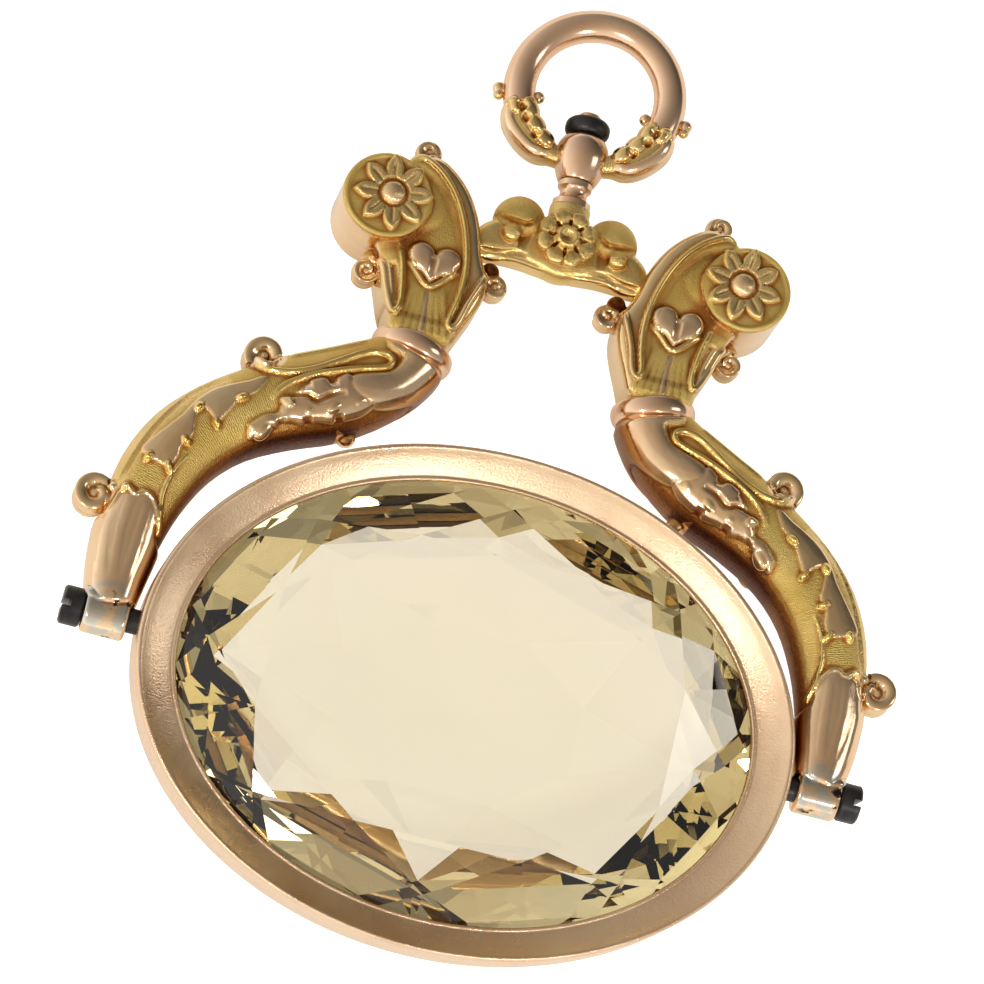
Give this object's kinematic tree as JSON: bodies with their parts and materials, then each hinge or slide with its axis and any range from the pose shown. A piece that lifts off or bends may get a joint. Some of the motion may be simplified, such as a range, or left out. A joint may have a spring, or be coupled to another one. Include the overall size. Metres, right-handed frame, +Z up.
{
  "type": "citrine swivel pendant",
  "caption": "Gold swivel pendant: a large oval citrine in a dished bezel that turns between the feet of a cast yoke of two volute arms, under a swivel bow.",
  "frame": {"origin": "the middle of the stone's flat back table, on the surface that the pendant lies on, under the swivel axis", "axes": "+X along the two pivot screws to the right, +Y from the stone towards the bow, +Z up out of the stone's front table"},
  "size_m": [0.0604, 0.0717, 0.0128],
  "materials": {
    "citrine": "polished pale yellow cut stone",
    "rose_gold": "satin rose gold with fine scratches",
    "yellow_gold": "matted greenish yellow gold ground with polished rose relief",
    "dark_steel": "dark blued and tarnished steel"
  },
  "bodies": {
    "frame": {"yoke": "yellow_gold", "swivel_post": "rose_gold", "post_washer": "dark_steel"},
    "stone": {"citrine": "citrine", "bezel": "rose_gold", "pivot_screw_left": "dark_steel", "pivot_screw_right": "dark_steel"},
    "bow": {"bow": "rose_gold"}
  },
  "joints": [
    {"name": "stone_swivel", "type": "hinge", "parent": "frame", "child": "stone", "pos_m": [0, 0, 0.0088], "axis": [1, 0, 0], "continuous": true},
    {"name": "bow_swivel", "type": "hinge", "parent": "frame", "child": "bow", "pos_m": [0, 0, 0.0088], "axis": [0, 0.9904, -0.1383], "continuous": true}
  ]
}
